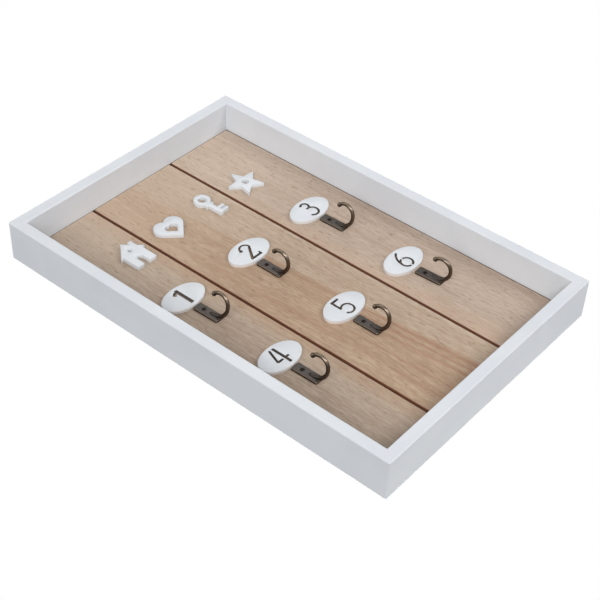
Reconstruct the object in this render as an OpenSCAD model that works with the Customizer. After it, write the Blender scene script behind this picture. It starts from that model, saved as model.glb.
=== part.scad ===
/* [Frame] */
// Width across the frame
frame_w = 200; // [190:1:260]
// Height of the frame
frame_h = 300; // [290:1:400]
// Depth of the rails, from the wall to the front rim
frame_d = 28.5; // [28:0.5:45]
// Thickness of each rail, seen from the front
rail_t = 8; // [7:0.5:14]
// Radius that eases the long edges of the rails
rail_edge_r = 0.8; // [0.3:0.1:1.5]
// Radius on the four outer corners of the frame
corner_r = 1; // [0.4:0.1:3]
// Width of the rabbet that the back board sits in
rabbet_w = 4; // [3:0.5:5]

/* [Boards] */
// Depth of the hollow behind the back board
back_recess = 1.9; // [1.9:0.1:4]
// Thickness of the back board
board_t = 2; // [1.5:0.1:3]
// Clearance between the back board and the rabbet
board_gap = 0.3; // [0.1:0.1:0.8]
// Thickness of the planks
plank_t = 3; // [2.5:0.1:6]
// Width of the left plank
left_plank_w = 53.2; // [48:0.1:56]
// Width of the right plank
right_plank_w = 55.8; // [50:0.1:58]
// Gap between two planks
groove_w = 2.2; // [1:0.1:4]
// Gap between the planks and the rails
plank_gap = 0.4; // [0.2:0.1:1]
// Bevel on the long edges of the planks
plank_bevel = 0.3; // [0.1:0.1:0.8]

/* [Tags] */
// Width of an oval tag
tag_w = 32.4; // [26:0.1:36]
// Height of an oval tag
tag_h = 20; // [19:0.1:24]
// Thickness of an oval tag
tag_t = 2.5; // [1.5:0.1:4]
// Height of a digit
digit_h = 15.2; // [10:0.1:15.6]
// Width of a digit
digit_w = 9.6; // [7:0.1:10.5]
// Width of a thin stroke
thin_stroke = 1.4; // [0.8:0.1:1.6]
// Width of a bold stroke
bold_stroke = 2.5; // [1.6:0.1:3]
// Width of the bridges that hold the loose centres of 4 and 6
bridge_w = 1; // [0.7:0.1:1.6]
// Gap between the left rail and the tags of the left column
left_tag_gap = 14.2; // [10:0.1:20]
// Gap between the right rail and the tags of the right column
right_tag_gap = 17.6; // [10:0.1:20]
// Distance from the top edge of the frame to the middle of the upper tags
upper_row_drop = 113.6; // [105:0.1:120]
// Distance between the two rows of tags
row_step = 78; // [65:0.1:90]

/* [Hooks] */
// Width of the plate of a hook
plate_w = 7.2; // [5.5:0.1:9]
// Length of the plate of a hook
plate_h = 19.3; // [16:0.1:24]
// Thickness of the plate of a hook
plate_t = 1.4; // [1.2:0.1:2]
// Bevel around the face of the plate
plate_bevel = 0.5; // [0.2:0.1:0.7]
// Radius on the four corners of the plate
plate_corner_r = 1; // [0.8:0.1:2]
// Gap between a tag and the plate below it
tag_gap = 0.3; // [0.2:0.1:2]
// Diameter of the round arm where it leaves the plate
arm_d = 2.5; // [2:0.1:2.8]
// Diameter of the arm at its tip, behind the ball
arm_tip_d = 2.4; // [1.6:0.1:2.8]
// Radius of the big bend of the arm
arm_bend_r = 10.3; // [8:0.1:10.8]
// Radius of the curl at the end of the arm
curl_r = 6.2; // [4:0.1:7]
// Height at which the arm leaves the plate, above the foot of the plate
arm_root_z = 5.8; // [4:0.1:7]
// Length over which the root of the arm swells out of the plate
arm_lead = 2.6; // [1:0.1:5]
// Angle at which the big bend turns into the curl
curl_start = 76; // [60:1:90]
// Angle at which the curl ends
curl_end = 44; // [20:1:100]
// Diameter of the ball at the tip
tip_d = 3.2; // [2.9:0.1:4]

/* [Fasteners] */
// Shank diameter of the hook screws
screw_d = 1.6; // [1.2:0.1:2]
// Head diameter of the hook screws
screw_head_d = 2.8; // [2.6:0.1:3.6]
// Distance from the top of the plate to its screw
screw_drop = 5.9; // [4:0.1:8]
// Diameter of the pins and nails
pin_d = 1; // [0.8:0.1:1.4]
// Length of the pins that close a mitred corner
corner_pin_l = 18; // [14:1:24]
// Length of the pins that hold the back board, below their heads
board_pin_l = 8; // [5:1:14]
// Head diameter of the board pins and the hanger nails
pin_head_d = 2.2; // [1.8:0.1:3]
// Thickness of those heads
pin_head_t = 0.4; // [0.3:0.1:0.6]
// Clearance around every shank
shank_gap = 0.05; // [0.03:0.01:0.1]

/* [Ornaments] */
// Height of an ornament
ornament_h = 24.6; // [18:0.1:30]
// Thickness of an ornament
ornament_t = 3; // [2:0.1:5]
// Distance from the left rail to the middle of the first ornament
first_ornament_in = 39.3; // [25:0.1:45]
// Distance from the right rail to the middle of the last ornament
last_ornament_in = 40.3; // [25:0.1:45]
// Distance from the top edge of the frame to the middle of the ornaments
ornament_drop = 61.7; // [40:0.1:66]

/* [Hanger] */
// Distance from the top edge of the frame to the notch that takes the wall nail
hang_drop = 24; // [20:0.5:60]
// Length of the hanger strip
hanger_w = 46; // [40:1:60]
// Height of the hanger strip
hanger_h = 9; // [8:0.5:14]
// Thickness of the hanger strip
hanger_t = 0.8; // [0.5:0.1:0.8]
// Rise of its middle above its two ends
hanger_rise = 1; // [0.6:0.1:1]
// Length of each flat end
hanger_tab = 8; // [7:0.5:10]
// Distance between two notches
notch_pitch = 3; // [2:0.1:4]
// Depth of a notch
notch_depth = 1.4; // [0.8:0.1:2]

/* [Hidden] */
$fn = 48;
ORNAMENTS = ["house", "heart", "key", "star"];

// Depths, measured from the wall at y = 0; the front of the frame looks along -Y
board_back_y = -back_recess;
plank_back_y = board_back_y - board_t;
face_y = plank_back_y - plank_t;

// Heights inside this file start at the bottom edge; hung() then puts the notch at the origin
notch_z = frame_h - hang_drop;

// Planks: the outer two have their own widths and the middle one fills what is left
opening_w = frame_w - 2 * rail_t;
left_plank_x = -opening_w / 2 + plank_gap;
middle_plank_x = left_plank_x + left_plank_w + groove_w;
right_plank_x = opening_w / 2 - plank_gap - right_plank_w;
middle_plank_w = right_plank_x - groove_w - middle_plank_x;

// Tags and hooks: six places, in two rows of three
left_column_x = -opening_w / 2 + left_tag_gap + tag_w / 2;
right_column_x = opening_w / 2 - right_tag_gap - tag_w / 2;
column_step = (right_column_x - left_column_x) / 2;
function tag_x(i) = left_column_x + column_step * ((i - 1) % 3);
function tag_z(i) = frame_h - upper_row_drop - (i > 3 ? row_step : 0);

// Each hook was set and bent by hand: [shift off its tag, drop, turn about its screw, lean of its arm]
HOOK_SETTINGS = [[1.1, 0, -1, 8], [-1.4, 0.2, 0, -2], [1.5, 0, -1, 4], [1.2, 0, -1, 3], [-1.8, 0.4, 0, 4],
    [0.4, 0.9, -3, -3]];
function hook_x(i) = tag_x(i) + HOOK_SETTINGS[i - 1][0];
function plate_top_z(i) = tag_z(i) - tag_h / 2 - tag_gap - HOOK_SETTINGS[i - 1][1];
function screw_z(i) = plate_top_z(i) - screw_drop;

// Ornaments: one row, spread evenly between its two ends
first_ornament_x = -opening_w / 2 + first_ornament_in;
last_ornament_x = opening_w / 2 - last_ornament_in;
ornament_step = (last_ornament_x - first_ornament_x) / (len(ORNAMENTS) - 1);

// Fastener rows
screw_head_depth = (screw_head_d - screw_d) / 2;
screw_slot = 0.4;
screw_l = plate_t + plank_t + board_t / 2;
rabbet_mid = rail_t - rabbet_w / 2;
corner_pin_skin = 0.8;
CORNER_PIN_YS = [-0.28 * frame_d, -0.7 * frame_d];
SIDE_PIN_ZS = [0.2 * frame_h, 0.5 * frame_h, 0.8 * frame_h];
END_PIN_XS = [-0.23 * frame_w, 0.23 * frame_w];
BOARD_PIN_SPOTS = concat(
    [for (s = [-1, 1], z = SIDE_PIN_ZS) [s * (frame_w / 2 - rabbet_mid), z]],
    [for (x = END_PIN_XS, z = [rabbet_mid, frame_h - rabbet_mid]) [x, z]]
);
hanger_nail_l = hanger_t + board_t + plank_t / 2;
HANGER_NAIL_XS = [-(hanger_w - hanger_tab) / 2, (hanger_w - hanger_tab) / 2];
hanger_mid_z = notch_z - notch_depth + hanger_h / 2;

PAINT = [0.93, 0.93, 0.94];
PAULOWNIA = [0.78, 0.68, 0.58];
HARDBOARD = [0.36, 0.22, 0.15];
BRONZE = [0.27, 0.22, 0.18];
STEEL = [0.66, 0.67, 0.68];
cut = 0.01;
arm_sides = 12;
arm_bend_rings = 10;
arm_curl_rings = 13;
arm_nib_r = 0.15;
ball_seat = 0.7;

// Moves a piece from the bottom edge of the frame to the hanging point
module hung() {
    translate([0, 0, -notch_z]) children();
}

// A flat piece of thickness t with its back at depth y, drawn as its front view
module slab(y, t) {
    translate([0, y, 0]) rotate([90, 0, 0]) linear_extrude(t) children();
}

// A round bar of length l that starts at depth y and runs to the front
module to_front(x, y, z, l, d) {
    translate([x, y, z]) rotate([90, 0, 0]) cylinder(h = l, d = d);
}

// Waste outside a quarter circle, to be cut from a square corner at the origin
module ease(r) {
    difference() {
        translate([-cut, -cut]) square(r + cut);
        translate([r, r]) circle(r);
    }
}

// Section of a rail: across is depth, up is from the outer face to the opening
module rail_section() {
    difference() {
        translate([-frame_d, 0]) square([frame_d, rail_t]);
        translate([plank_back_y, rail_t - rabbet_w]) square([frame_d, rail_t]);
        translate([-frame_d, 0]) ease(rail_edge_r);
        translate([-frame_d, rail_t]) mirror([0, 1]) ease(rail_edge_r);
        mirror([1, 0]) ease(rail_edge_r);
    }
}

// Front view of a rail of length l: mitred ends and eased outer corners
module rail_outline(l) {
    intersection() {
        polygon([[-l / 2, 0], [l / 2, 0], [l / 2 - rail_t, rail_t], [rail_t - l / 2, rail_t]]);
        union() {
            translate([-l / 2, corner_r]) square([l, rail_t]);
            translate([corner_r - l / 2, 0]) square([l - 2 * corner_r, rail_t]);
            for (s = [-1, 1]) translate([s * (l / 2 - corner_r), corner_r]) circle(corner_r);
        }
    }
}

// A rail on the side of the frame that the angle names; reach is from the middle of the frame
module rail(l, reach, angle) {
    color(PAINT) hung() difference() {
        translate([0, 0, frame_h / 2]) rotate([0, angle, 0]) translate([0, 0, -reach])
            intersection() {
                translate([-l / 2, 0, 0]) rotate([90, 0, 90]) linear_extrude(l) rail_section();
                slab(0, frame_d) rail_outline(l);
            }
        corner_pin_bars(pin_d + 2 * shank_gap);
        board_pin_shanks(pin_d + 2 * shank_gap);
    }
}

// Pins through the four mitres, punched in from the side rails and filled over
module corner_pin_bars(d) {
    for (sx = [-1, 1], z = [rail_t / 2, frame_h - rail_t / 2], y = CORNER_PIN_YS)
        translate([sx * (frame_w / 2 - corner_pin_skin), y, z])
            rotate([0, -90 * sx, 0]) cylinder(h = corner_pin_l, d = d);
}

module corner_pins() {
    color(STEEL) hung() corner_pin_bars(pin_d);
}

// Shanks of the pins that run through the back board into the rails
module board_pin_shanks(d) {
    for (p = BOARD_PIN_SPOTS) to_front(p[0], board_back_y, p[1], board_pin_l, d);
}

module board_pins() {
    color(STEEL) hung() {
        board_pin_shanks(pin_d);
        for (p = BOARD_PIN_SPOTS)
            to_front(p[0], board_back_y + pin_head_t, p[1], pin_head_t, pin_head_d);
    }
}

// Bores for the hook screws and the hanger nails, through planks and back board
module fixing_bores() {
    for (i = [1:6])
        to_front(hook_x(i), face_y + screw_l - plate_t, screw_z(i), screw_l, screw_d + 2 * shank_gap);
    hanger_nail_bars(pin_d + 2 * shank_gap);
}

module back_board() {
    board_w = frame_w - 2 * (rail_t - rabbet_w + board_gap);
    board_h = frame_h - 2 * (rail_t - rabbet_w + board_gap);
    color(HARDBOARD) hung() difference() {
        slab(board_back_y, board_t) translate([0, frame_h / 2]) square([board_w, board_h], center = true);
        fixing_bores();
        board_pin_shanks(pin_d + 2 * shank_gap);
    }
}

// A plank between two rails, with its long front edges bevelled
module plank(x, w) {
    b = plank_bevel;
    z = rail_t + plank_gap;
    color(PAULOWNIA) hung() difference() {
        translate([x, 0, z]) linear_extrude(frame_h - 2 * z) polygon([
            [0, plank_back_y], [w, plank_back_y], [w, face_y + b],
            [w - b, face_y], [b, face_y], [0, face_y + b]
        ]);
        fixing_bores();
    }
}

// Ornaments: plain cut-outs with their middle at the origin, all of one height
module house_shape() {
    half = ornament_h / 2;
    wall_w = 0.66 * ornament_h;
    eaves_z = 0.02 * ornament_h;
    door_w = 0.2 * ornament_h;
    door_h = 0.24 * ornament_h;
    difference() {
        union() {
            translate([-wall_w / 2, -half]) square([wall_w, half + eaves_z + cut]);
            polygon([[-0.42 * ornament_h, eaves_z], [0.42 * ornament_h, eaves_z], [0, half]]);
            translate([0.17 * ornament_h, eaves_z]) square([0.12 * ornament_h, 0.4 * ornament_h]);
        }
        translate([-door_w / 2, -half - cut]) square([door_w, door_h]);
        translate([0, door_h - half - cut]) circle(d = door_w);
        translate([0, 0.14 * ornament_h]) circle(0.065 * ornament_h);
    }
}

// A heart: a square on its corner whose two upper sides swell into half circles
module heart(side) {
    lobe = side / (2 * sqrt(2));
    polygon(concat(
        [[0, -2 * lobe]],
        [for (a = [-45:15:120]) [lobe, lobe] + side / 2 * [cos(a), sin(a)]],
        [for (a = [45:15:225]) [-lobe, lobe] + side / 2 * [cos(a), sin(a)]]
    ));
}

module heart_shape() {
    side = 0.53 * ornament_h;
    translate([0, -0.07 * side]) difference() {
        heart(side);
        heart(0.42 * side);
    }
}

module key_shape() {
    half = ornament_h / 2;
    bow_r = 0.235 * ornament_h;
    shaft_w = 0.13 * ornament_h;
    bit_l = 0.2 * ornament_h;
    difference() {
        union() {
            translate([0, half - bow_r]) circle(bow_r);
            translate([-shaft_w / 2, -half]) square([shaft_w, ornament_h - 1.5 * bow_r]);
            translate([-shaft_w, -0.04 * ornament_h]) square([2 * shaft_w, 0.06 * ornament_h]);
            for (z = [0.02, 0.17])
                translate([0, z * ornament_h - half]) square([shaft_w / 2 + bit_l, 0.1 * ornament_h]);
        }
        translate([0, half - bow_r]) circle(0.52 * bow_r);
    }
}

module star_shape() {
    tip_r = 0.53 * ornament_h;
    waist_r = 0.46 * tip_r;
    ray_count = 5;
    half_turn = 180 / ray_count;
    translate([0, -0.03 * ornament_h]) difference() {
        polygon([for (k = [0:2 * ray_count - 1]) let(r = k % 2 == 0 ? tip_r : waist_r, a = 90 + k * half_turn)
            [r * cos(a), r * sin(a)]]);
        circle(0.18 * tip_r);
    }
}

module ornament(k) {
    x = first_ornament_x + ornament_step * k;
    color(PAINT) hung() slab(face_y, ornament_t) translate([x, frame_h - ornament_drop]) {
        if (k == 0) house_shape();
        if (k == 1) heart_shape();
        if (k == 2) key_shape();
        if (k == 3) star_shape();
    }
}

// Arc stroke about the origin: mean radius r, from angle a0 to a1, with square ends
module arc(r, a0, a1, w) {
    far = 2 * (r + w);
    steps = ceil((a1 - a0) / 30);
    intersection() {
        difference() {
            circle(r + w / 2);
            circle(r - w / 2);
        }
        polygon(concat([[0, 0]], [for (k = [0:steps]) let(a = a0 + (a1 - a0) * k / steps)
            far * [cos(a), sin(a)]]));
    }
}

// Straight stroke of width w from p to q
module bar(p, q, w) {
    v = q - p;
    n = w / 2 / norm(v) * [-v[1], v[0]];
    polygon([p + n, q + n, q - n, p - n]);
}

// Digits 1 to 6, pierced, with the middle of the digit at the origin
module digit(i) {
    top = digit_h / 2;
    side = digit_w / 2;
    t = thin_stroke;
    b = bold_stroke;
    bowl_r = side - t / 2;
    bowl_z = side - top;
    if (i == 1) {
        stem_x = 0.12 * side;
        flag = [0.6 * side, 0.32 * top];
        translate([stem_x - b / 2, -top]) square([b, digit_h]);
        bar([stem_x - b / 2, top - t], [stem_x - b / 2, top - t] - flag, 1.6 * t);
    }
    if (i == 2) {
        head_r = 0.8 * side;
        head_z = top - head_r - t / 2;
        translate([0, head_z]) arc(head_r, 0, 165, t);
        translate([-head_r, head_z + 0.25 * t]) circle(0.9 * t);
        polygon([
            [head_r + t / 2, head_z + cut], [head_r - 0.6 * b, head_z + cut],
            [-side, t - top], [b - side, t - top]
        ]);
        translate([-side, -top]) square([digit_w, 1.2 * t]);
        translate([side - t, -top]) square([t, 2.2 * t]);
    }
    if (i == 3) {
        head_r = (digit_h - digit_w + t) / 2 - t / 2;
        translate([0, top - head_r - t / 2]) arc(head_r, -90, 150, t);
        translate([0, bowl_z]) arc(bowl_r, -150, 90, t);
        translate([-t, bowl_z + bowl_r - t / 2]) square([1.2 * t, t]);
    }
    if (i == 4) {
        stem_x = 0.3 * side;
        gap_x = stem_x - t / 2 - bridge_w;
        bar_z = -0.36 * top;
        bar([-side, bar_z], [gap_x - t / 2, top], t);
        translate([-side, bar_z - t / 2]) square([gap_x + side, t]);
        translate([stem_x - t / 2, -top]) square([1.3 * t, digit_h]);
        translate([stem_x, bar_z - t / 2]) square([side - stem_x, t]);
    }
    if (i == 5) {
        corner = [-0.72 * side, top - t / 2];
        translate([0, bowl_z]) arc(bowl_r, -150, 150, t);
        bar(corner + [0, t / 2], [bowl_r * cos(150), bowl_z + bowl_r * sin(150)], 1.2 * t);
        translate([corner[0] - t / 2, top - t]) square([1.35 * side, 1.2 * t]);
    }
    if (i == 6) {
        half_gap = asin(bridge_w / 2 / bowl_r);
        stem_r = top + bowl_r - bowl_z - 2 * t;
        translate([0, bowl_z]) arc(bowl_r, -90 + half_gap, 90 - half_gap, t);
        translate([0, bowl_z]) arc(bowl_r, 90 + half_gap, 270 - half_gap, t);
        translate([stem_r - bowl_r, bowl_z]) arc(stem_r, 118, 180, t);
    }
}

module tag(i) {
    color(PAINT) hung() slab(face_y, tag_t) translate([tag_x(i), tag_z(i)]) difference() {
        polygon([for (a = [0:5:355]) [tag_w / 2 * cos(a), tag_h / 2 * sin(a)]]);
        digit(i);
    }
}

// Turns a side view, drawn as [distance from the face, height], about the X axis of the hook
module side_view() {
    rotate([90, 0, -90]) children();
}

// Front view of the plate, with round corners
module plate_outline() {
    r = plate_corner_r;
    hw = plate_w / 2;
    translate([-hw, r]) square([plate_w, plate_h - 2 * r]);
    translate([r - hw, 0]) square([plate_w - 2 * r, plate_h]);
    for (s = [-1, 1], z = [r, plate_h - r]) translate([s * (hw - r), z]) circle(r);
}

// Plate with a bevel all round its face; its foot is at z = 0 and its back at y = 0
module hook_plate() {
    b = plate_bevel;
    hw = plate_w / 2;
    intersection() {
        slab(0, plate_t) plate_outline();
        linear_extrude(plate_h) polygon([
            [-hw, 0], [hw, 0], [hw, b - plate_t], [hw - b, -plate_t], [b - hw, -plate_t], [-hw, b - plate_t]
        ]);
        side_view() translate([0, 0, -plate_w]) linear_extrude(2 * plate_w) polygon([
            [0, 0], [plate_t - b, 0], [plate_t, b],
            [plate_t, plate_h - b], [plate_t - b, plate_h], [0, plate_h]
        ]);
    }
}

// Centreline of the arm in the side view: each ring is [centre, outward direction, radius]
arm_root = [plate_t - 0.1, arm_root_z];
bend_c = arm_root + [arm_bend_r, 0];
curl_c = bend_c + (arm_bend_r - curl_r) * [cos(curl_start), -sin(curl_start)];
tip_out = [cos(curl_end), sin(curl_end)];
tip_on = [-sin(curl_end), cos(curl_end)];
bend_l = arm_bend_r * (180 - curl_start);
curl_l = curl_r * (curl_start + curl_end);
function arm_r(l) = (arm_d + (arm_tip_d - arm_d) * l / (bend_l + curl_l)) / 2;
LEAD_RINGS = [for (k = [0:3])
    let(t = k / 4)
    [arm_root + [0, arm_lead * (1 - t)], [-1, 0], max(arm_nib_r, arm_d / 2 * sqrt(1 - (1 - t) * (1 - t)))]];
BEND_RINGS = [for (k = [0:arm_bend_rings])
    let(a = (180 - curl_start) * k / arm_bend_rings, e = -[cos(a), sin(a)])
    [bend_c + arm_bend_r * e, e, arm_r(arm_bend_r * a)]];
CURL_RINGS = [for (k = [1:arm_curl_rings])
    let(a = (curl_start + curl_end) * k / arm_curl_rings, e = [cos(a - curl_start), sin(a - curl_start)])
    [curl_c + curl_r * e, e, arm_r(bend_l + curl_r * a)]];
TIP_RINGS = [for (a = [-40:20:80])
    [curl_c + curl_r * tip_out + tip_d / 2 * (sin(a) + ball_seat) * tip_on, tip_out, tip_d / 2 * cos(a)]];
ARM_RINGS = concat(LEAD_RINGS, BEND_RINGS, CURL_RINGS, TIP_RINGS);

// Arm swept through its rings: it swells out of the plate, bends, tapers into the curl and ends in a ball
module hook_arm() {
    n = arm_sides;
    last = len(ARM_RINGS) - 1;
    points = [for (ring = ARM_RINGS, j = [0:n - 1])
        let(a = 360 * j / n, c = ring[0] + ring[2] * cos(a) * ring[1])
        [ring[2] * sin(a), -c[0], c[1]]];
    walls = [for (k = [0:last - 1], j = [0:n - 1]) let(p = k * n + j, q = k * n + (j + 1) % n)
        each [[p, p + n, q], [q, p + n, q + n]]];
    foot = [for (j = [0:n - 1]) j];
    end = [for (j = [0:n - 1]) last * n + n - 1 - j];
    polyhedron(points, concat(walls, [foot, end]));
}

module hook(i) {
    bore_d = screw_d + 2 * shank_gap;
    mouth_d = screw_head_d + 2 * cut + 2 * shank_gap;
    turn = HOOK_SETTINGS[i - 1][2];
    lean = HOOK_SETTINGS[i - 1][3];
    color(BRONZE) hung() difference() {
        translate([hook_x(i), face_y, screw_z(i)]) rotate([0, turn, 0])
            translate([0, 0, screw_drop - plate_h]) {
                hook_plate();
                rotate([0, 0, lean]) hook_arm();
            }
        to_front(hook_x(i), face_y + cut, screw_z(i), plate_t + 2 * cut, bore_d);
        translate([hook_x(i), face_y - plate_t - cut, screw_z(i)]) rotate([-90, 0, 0])
            cylinder(h = screw_head_depth + cut, d1 = mouth_d, d2 = bore_d);
    }
}

// Countersunk screw, turned about its axis; the face of its head is at the origin
module screw() {
    tip = screw_d / 2;
    difference() {
        rotate([90, 0, 0]) rotate_extrude() polygon([
            [0, 0], [screw_head_d / 2, 0], [screw_d / 2, -screw_head_depth],
            [screw_d / 2, tip - screw_l], [0, -screw_l]
        ]);
        translate([-screw_head_d, -cut, -screw_slot / 2]) cube([2 * screw_head_d, screw_slot, screw_slot]);
    }
}

module hook_screws() {
    color(BRONZE) hung() for (i = [1:6])
        translate([hook_x(i), face_y - plate_t, screw_z(i)]) screw();
}

module hanger_nail_bars(d) {
    for (x = HANGER_NAIL_XS) to_front(x, board_back_y + hanger_t, hanger_mid_z, hanger_nail_l, d);
}

module hanger_nails() {
    color(STEEL) hung() {
        hanger_nail_bars(pin_d);
        for (x = HANGER_NAIL_XS)
            to_front(x, board_back_y + hanger_t + pin_head_t, hanger_mid_z, pin_head_t, pin_head_d);
    }
}

// Toothed strip: two flat ends on the back board and a raised middle with a row of notches
module hanger() {
    half = hanger_w / 2;
    bend_x = half - hanger_tab;
    flat_x = bend_x - 2 * hanger_rise;
    low = board_back_y;
    high = board_back_y + hanger_rise;
    t = hanger_t;
    notches = floor(flat_x / notch_pitch - 0.5);
    color(STEEL) hung() difference() {
        intersection() {
            linear_extrude(frame_h) polygon([
                [-half, low], [-bend_x, low], [-flat_x, high], [flat_x, high], [bend_x, low], [half, low],
                [half, low + t], [bend_x, low + t], [flat_x, high + t],
                [-flat_x, high + t], [-bend_x, low + t], [-half, low + t]
            ]);
            slab(frame_d, 2 * frame_d) translate([0, notch_z - notch_depth]) difference() {
                translate([-half, 0]) square([hanger_w, hanger_h]);
                for (k = [-notches:notches]) translate([k * notch_pitch, 0])
                    polygon([[-notch_pitch / 2, -cut], [notch_pitch / 2, -cut], [0, notch_depth]]);
            }
        }
        hanger_nail_bars(pin_d + 2 * shank_gap);
    }
}

rail(frame_w, frame_h / 2, 180);  // rail_top
rail(frame_w, frame_h / 2, 0);  // rail_bottom
rail(frame_h, frame_w / 2, 90);  // rail_left
rail(frame_h, frame_w / 2, -90);  // rail_right
back_board();
plank(left_plank_x, left_plank_w);  // plank_left
plank(middle_plank_x, middle_plank_w);  // plank_middle
plank(right_plank_x, right_plank_w);  // plank_right
for (k = [0:3]) ornament(k);
for (i = [1:6]) tag(i);
for (i = [1:6]) hook(i);
hook_screws();
corner_pins();
board_pins();
hanger();
hanger_nails();
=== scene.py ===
# %% [markdown]
# A wall key holder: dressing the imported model
#
# The object is a shallow white box frame with a planked back. It carries four white cut-outs, six oval
# number tags and six small bronze hooks. The CAD model already has every part at its real size, so this
# lesson loads it as a fixed frame and asks of each part: is its shape right, and what is it made of?
# Rails, planks, the back board and the metal fixings keep their CAD shape and get a finish. Hooks, tags and
# cut-outs get new meshes.

# %% Load the frame
import math

import bpy
import numpy as np
from mathutils import Matrix, Vector


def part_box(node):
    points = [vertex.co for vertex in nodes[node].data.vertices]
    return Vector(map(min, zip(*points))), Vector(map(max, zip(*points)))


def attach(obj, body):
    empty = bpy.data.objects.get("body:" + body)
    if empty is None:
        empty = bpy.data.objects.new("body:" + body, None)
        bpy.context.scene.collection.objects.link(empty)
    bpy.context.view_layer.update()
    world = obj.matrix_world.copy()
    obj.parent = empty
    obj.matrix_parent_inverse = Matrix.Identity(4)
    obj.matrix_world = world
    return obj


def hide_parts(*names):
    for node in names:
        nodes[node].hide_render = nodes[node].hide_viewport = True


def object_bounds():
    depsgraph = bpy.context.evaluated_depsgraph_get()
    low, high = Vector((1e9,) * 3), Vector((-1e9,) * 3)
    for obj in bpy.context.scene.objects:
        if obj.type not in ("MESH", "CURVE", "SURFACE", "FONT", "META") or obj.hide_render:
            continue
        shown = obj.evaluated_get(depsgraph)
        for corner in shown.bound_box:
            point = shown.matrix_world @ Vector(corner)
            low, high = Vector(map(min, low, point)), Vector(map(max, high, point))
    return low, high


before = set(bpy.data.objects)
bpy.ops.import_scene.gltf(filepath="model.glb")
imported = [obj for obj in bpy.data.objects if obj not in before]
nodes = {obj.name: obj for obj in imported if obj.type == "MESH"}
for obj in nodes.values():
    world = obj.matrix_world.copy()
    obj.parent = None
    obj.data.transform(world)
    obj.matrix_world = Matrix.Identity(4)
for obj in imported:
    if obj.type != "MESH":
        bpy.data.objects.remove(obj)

cad_box = [list(corner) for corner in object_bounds()]
print(len(nodes), "parts, box", [[round(v, 4) for v in corner] for corner in cad_box])

# %% [markdown]
# The camera
#
# The photograph looks up at the hung frame from its lower left, in front of it. The edges of the four rails,
# fitted as straight lines, give the camera's place, its turn and its focal length. A matrix whose columns are
# the camera's right, up and back directions says the turn without any guessing of angles.

# %% Camera
MM = 0.001


def make_camera(place, right, up, lens):
    """Camera at place. Its third axis, back, is right x up, because it looks along its own -Z."""
    right, up = Vector(right).normalized(), Vector(up).normalized()
    back = right.cross(up).normalized()
    up = back.cross(right)
    data = bpy.data.cameras.new("camera")
    data.lens = lens
    data.sensor_width = 36
    data.clip_start, data.clip_end = 0.01, 20
    camera = bpy.data.objects.new("camera", data)
    turn = Matrix((right, up, back)).transposed()
    camera.matrix_world = Matrix.Translation(Vector(place) * MM) @ turn.to_4x4()
    bpy.context.scene.collection.objects.link(camera)
    bpy.context.scene.camera = camera
    return camera


camera = make_camera(
    place=(-504.13, -556.26, -533.17),
    right=(0.64598, -0.03441, -0.76258),
    up=(0.48631, -0.75147, 0.44586),
    lens=81.48,
)
print("camera", [round(v, 3) for v in camera.location])

# %% [markdown]
# Materials: a few helpers
#
# A material is a small graph of nodes. One helper adds any node, sets its own properties and fills its
# sockets with values or links. Another turns the hex colours that a designer writes into linear light.
# Patterns are sized in millimetres, and a texture's scale is the number of its blobs in a metre, so a third
# helper converts.

# %% Node and colour helpers


def linear(code):
    """sRGB hex to linear: a channel c is c / 12.92 up to 0.04045, ((c + 0.055) / 1.055) ^ 2.4 above it."""
    channels = [int(code[k:k + 2], 16) / 255 for k in (1, 3, 5)]
    return tuple(c / 12.92 if c <= 0.04045 else ((c + 0.055) / 1.055) ** 2.4 for c in channels) + (1.0,)


def per_metre(*sizes):
    """Blobs in a metre for blob sizes in mm: 1 / (size * MM). One size gives a number, more give a list."""
    scales = [1 / (size * MM) for size in sizes]
    return scales if len(scales) > 1 else scales[0]


def add(tree, kind, sockets=None, **settings):
    """Adds one node. settings are its properties, and sockets its inputs: a value, an output or a node.

    A node that is given as a value is linked by the first of its outputs that is in use.
    """
    node = tree.nodes.new("ShaderNode" + kind)
    for name, value in settings.items():
        setattr(node, name, value)
    for name, value in (sockets or {}).items():
        if isinstance(value, bpy.types.Node):
            value = next(output for output in value.outputs if output.enabled)
        if isinstance(value, bpy.types.NodeSocket):
            tree.links.new(value, node.inputs[name])
        else:
            node.inputs[name].default_value = value
    return node


def new_material(name):
    """An empty material, its tree and the place on the object, in metres, that its patterns start from."""
    material = bpy.data.materials.new(name)
    material.use_nodes = True
    material.node_tree.nodes.clear()
    return material, material.node_tree, add(material.node_tree, "TexCoord").outputs["Object"]


def layered(tree, colour, layers):
    """Paints layers (share, strength, hex) over a colour: each mixes in its own by share * strength."""
    for share, strength, code in layers:
        amount = add(tree, "Math", {0: share, 1: strength}, operation="MULTIPLY")
        colour = add(tree, "Mix", {0: amount, 6: colour, 7: linear(code)}, data_type="RGBA")
    return colour


def dress(names, material):
    """Puts one material on every slot of the CAD parts named."""
    for name in names:
        for slot in nodes[name].material_slots:
            slot.material = material


print("white reads", round(linear("#FFFFFF")[0], 3), "and a 1 mm pattern has scale", per_metre(1))

# %% [markdown]
# Satin paint on the rails
#
# The rails are strips of MDF, sprayed white after the corners were glued and filled, so no mitre line shows.
# A picture could be wrapped round them, but spray paint has no picture: it has a satin sheen, a faint orange
# peel and hardly any change of tone. Two noises do that. The peel of real paint is about 1 mm across and a
# few hundredths deep. The tone drifts by a hundredth over a few centimetres, and the white leans to blue.
# Below the planks' face the inner walls are painted a dark MDF brown as painted shade, so the narrow gap
# beside the planks is a dark line.

# %% Satin paint
SMOOTH = {"interpolation_type": "SMOOTHSTEP"}           # for Map Range: level at both ends, with no corner
MIDDLE_Z = (cad_box[0][2] + cad_box[1][2]) / 2 / MM     # height of the frame's middle, in mm
FACE_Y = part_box("plank_middle")[0][1] / MM              # depth of the planks' faces, in mm
RAIL_T = 8                                              # thickness of the rails seen from the front, in mm


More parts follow.
